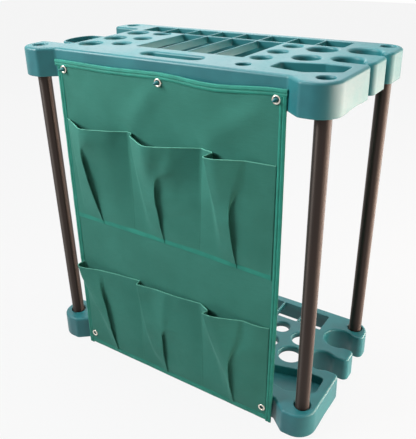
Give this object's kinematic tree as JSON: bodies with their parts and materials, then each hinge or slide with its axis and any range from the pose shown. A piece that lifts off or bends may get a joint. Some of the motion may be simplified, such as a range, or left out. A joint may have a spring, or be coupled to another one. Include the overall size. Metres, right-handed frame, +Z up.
{
  "type": "freestanding garden tool rack",
  "caption": "Freestanding garden tool rack: two moulded trays with tool holes and side keyholes on four tubes, with a hung fabric pocket panel in front.",
  "frame": {"origin": "centre of the rack's box at floor level", "axes": "+X to the right seen from the pocket side, +Y to the back, +Z up"},
  "size_m": [0.732, 0.4122, 0.76],
  "materials": {
    "tray_plastic": "semi-gloss moulded polypropylene with a fine grain",
    "tube_steel": "satin black-brown powder coat",
    "pocket_cloth": "matt woven polyester",
    "binding_tape": "smooth folded tape",
    "eyelet_metal": "bright nickel"
  },
  "bodies": {
    "root": {"top_tray": "tray_plastic", "base_tray": "tray_plastic", "front_left_tube": "tube_steel", "front_right_tube": "tube_steel", "back_left_tube": "tube_steel", "back_right_tube": "tube_steel", "pocket_panel": "pocket_cloth", "upper_pocket_strip": "pocket_cloth", "lower_pocket_strip": "pocket_cloth", "left_binding": "binding_tape", "right_binding": "binding_tape", "top_binding": "binding_tape", "bottom_binding": "binding_tape", "upper_seam_tape": "binding_tape", "top_left_eyelet": "eyelet_metal", "top_left_washer": "eyelet_metal", "top_middle_eyelet": "eyelet_metal", "top_middle_washer": "eyelet_metal", "top_right_eyelet": "eyelet_metal", "top_right_washer": "eyelet_metal", "lower_left_eyelet": "eyelet_metal", "lower_left_washer": "eyelet_metal", "lower_right_eyelet": "eyelet_metal", "lower_right_washer": "eyelet_metal"}
  },
  "joints": []
}
